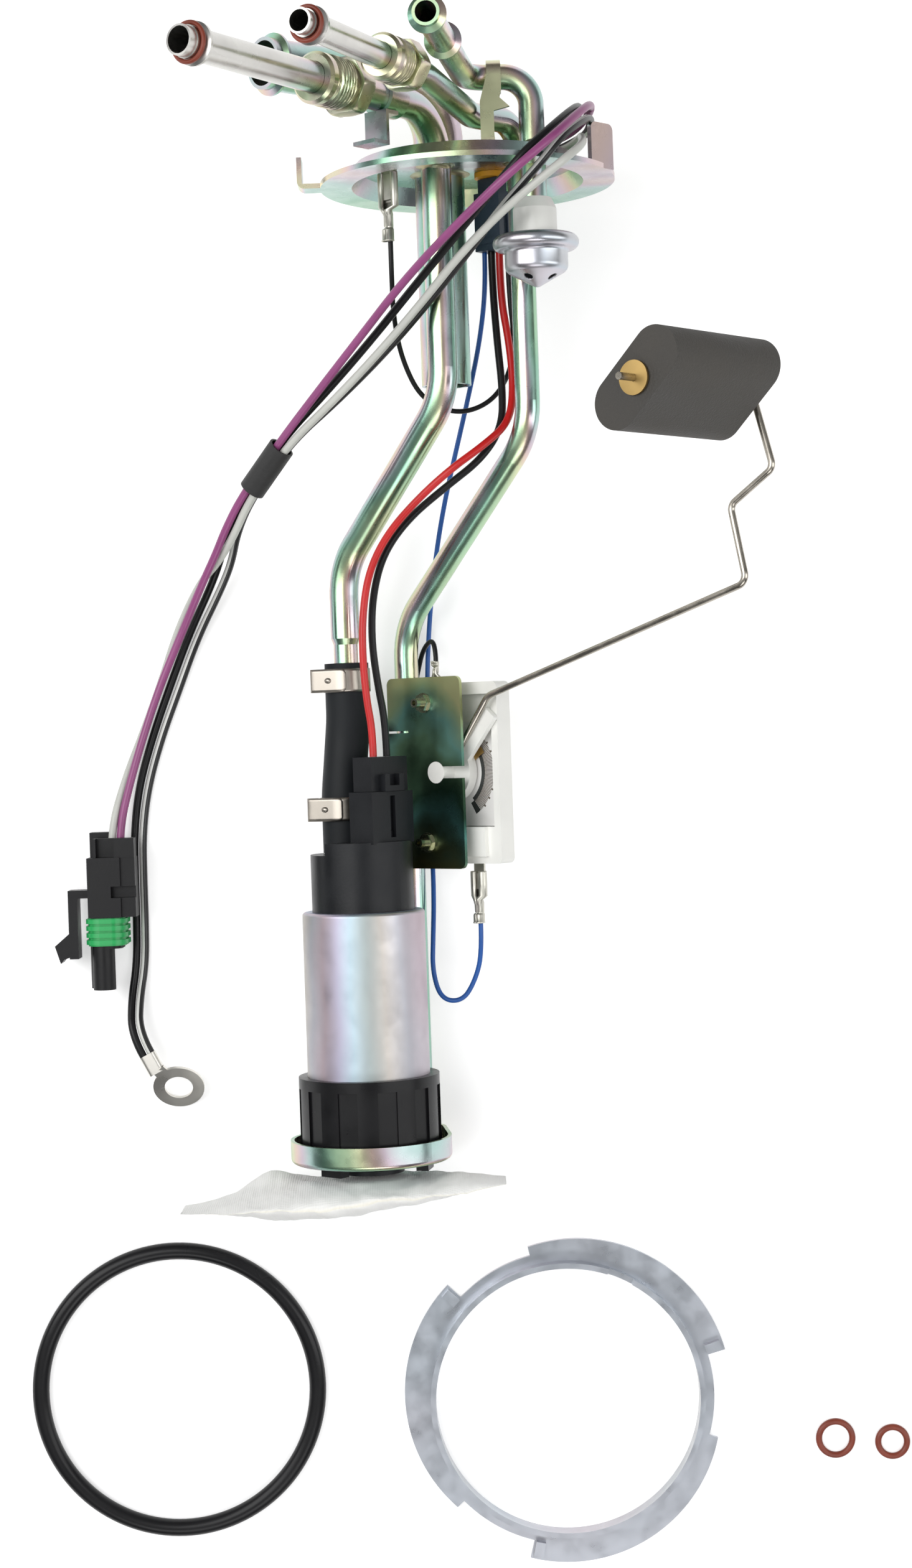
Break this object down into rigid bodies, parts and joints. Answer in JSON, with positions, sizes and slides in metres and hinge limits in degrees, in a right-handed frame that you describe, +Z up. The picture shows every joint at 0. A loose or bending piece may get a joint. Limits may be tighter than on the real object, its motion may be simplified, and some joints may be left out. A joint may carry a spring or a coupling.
{
  "type": "fuel pump module",
  "caption": "In-tank fuel pump module: flange with bent pipes and fittings, hose, cradled pump, strainer sock, level sender with float arm, harness, lock ring and seals.",
  "frame": {"origin": "centre of the tank flange, on the upper face of its rim", "axes": "+Y along the module from the pump to the pipe fittings, +Z up from the table that it lies on, +X to the right in the picture"},
  "size_m": [0.2925, 0.4946, 0.1695],
  "materials": {
    "zinc_steel": "iridescent yellow-green zinc passivation, satin",
    "bright_steel": "bright plated steel",
    "can_steel": "brushed zinc-plated can",
    "black_plastic": "moulded, satin",
    "blue_plastic": "moulded, satin",
    "white_plastic": "moulded nylon, satin",
    "grey_plastic": "moulded, satin",
    "black_rubber": "moulded, matt",
    "plate_steel": "dark olive and teal zinc passivation, satin",
    "ring_steel": "clear blue zinc plating, bright",
    "brown_rubber": "red-brown fuel-proof rubber, satin",
    "orange_rubber": "moulded, matt",
    "green_rubber": "silicone, satin",
    "hose_rubber": "extruded, satin",
    "float_foam": "closed-cell foam, matt",
    "card": "ceramic card, printed",
    "brass": "plain",
    "tin": "tinned contacts",
    "strainer_cloth": "woven filter cloth",
    "magnet": "ferrite, matt",
    "copper": "enamelled windings and laminations",
    "carbon": "carbon brush",
    "purple_wire": "wire covering",
    "grey_wire": "wire covering",
    "black_wire": "wire covering",
    "striped_wire": "black wire covering with a pale stripe",
    "red_wire": "wire covering",
    "blue_wire": "wire covering",
    "cloth_tape": "cloth tape"
  },
  "bodies": {
    "module": {"tank_flange": "zinc_steel", "left_tube_bracket": "zinc_steel", "right_tube_bracket": "zinc_steel", "supply_tube": "zinc_steel", "drop_tube": "zinc_steel", "return_tube": "zinc_steel", "vent_tube": "zinc_steel", "supply_o_ring": "brown_rubber", "return_o_ring": "brown_rubber", "feedthrough_seal": "orange_rubber", "feedthrough_connector": "blue_plastic", "ground_terminal": "tin", "vent_valve_collar": "white_plastic", "vent_valve_can": "ring_steel", "fuel_hose": "hose_rubber", "hose_clamps": "bright_steel", "pump_plug": "black_plastic", "pump_end_cap": "black_plastic", "pump_can": "can_steel", "pump_magnets": "magnet", "pump_brushes": "carbon", "pump_chamber": "grey_plastic", "pump_base": "grey_plastic", "pump_isolator": "black_rubber", "pump_cradle": "zinc_steel", "strainer_neck": "black_plastic", "strainer_sock": "strainer_cloth", "sender_plate": "plate_steel", "sender_screws": "bright_steel", "sender_body": "white_plastic", "resistor_card": "card", "sender_terminals": "tin", "harness_purple": "purple_wire", "harness_grey": "grey_wire", "harness_black": "black_wire", "harness_striped": "striped_wire", "harness_tape": "cloth_tape", "connector_housing": "black_plastic", "connector_seal": "green_rubber", "ring_terminal": "tin", "lead_red": "red_wire", "lead_black": "black_wire", "lead_blue": "blue_wire", "lead_ground": "black_wire", "lead_sender_ground": "black_wire", "lock_ring": "ring_steel", "tank_seal": "black_rubber", "spare_o_rings": "brown_rubber"},
    "float_arm": {"wiper_carrier": "white_plastic", "wiper_contact": "brass", "float_wire": "bright_steel", "float_washer": "brass"},
    "float_body": {"float": "float_foam"},
    "supply_fitting": {"supply_nut": "zinc_steel"},
    "return_fitting": {"return_nut": "zinc_steel"},
    "pump_rotor": {"pump_shaft": "bright_steel", "pump_armature": "copper", "pump_impeller": "black_plastic"},
    "vent_float": {"vent_valve_float": "white_plastic"},
    "plug_latch": {"connector_latch": "black_plastic"}
  },
  "joints": [
    {"name": "float_arm_hinge", "type": "hinge", "parent": "module", "child": "float_arm", "pos_m": [-0.01675, -0.1883, -0.02436], "axis": [-0.6561, 0, 0.7547], "range_deg": [-80, 0]},
    {"name": "float_spin", "type": "hinge", "parent": "float_arm", "child": "float_body", "pos_m": [0.07786, -0.0769, 0.06053], "axis": [-0.6561, 0, 0.7547], "continuous": true},
    {"name": "supply_nut_spin", "type": "hinge", "parent": "module", "child": "supply_fitting", "pos_m": [-0.04568, 0.0212, 0.05661], "axis": [0.5708, 0, -0.8211], "continuous": true},
    {"name": "return_nut_spin", "type": "hinge", "parent": "module", "child": "return_fitting", "pos_m": [-0.02493, 0.02126, 0.08011], "axis": [0.4581, -0.0096, -0.8888], "continuous": true},
    {"name": "pump_spin", "type": "hinge", "parent": "module", "child": "pump_rotor", "pos_m": [-0.0418, -0.26, -0.01993], "axis": [0, 1, 0], "continuous": true},
    {"name": "vent_float_slide", "type": "slide", "parent": "module", "child": "vent_float", "axis": [0, 1, 0], "range_m": [0, 0.0018]},
    {"name": "latch_hinge", "type": "hinge", "parent": "module", "child": "plug_latch", "pos_m": [-0.13305, -0.2247, -0.0383], "axis": [0, 0, 1], "range_deg": [-8, 2], "stiffness_Nm_per_rad": 0.3}
  ]
}
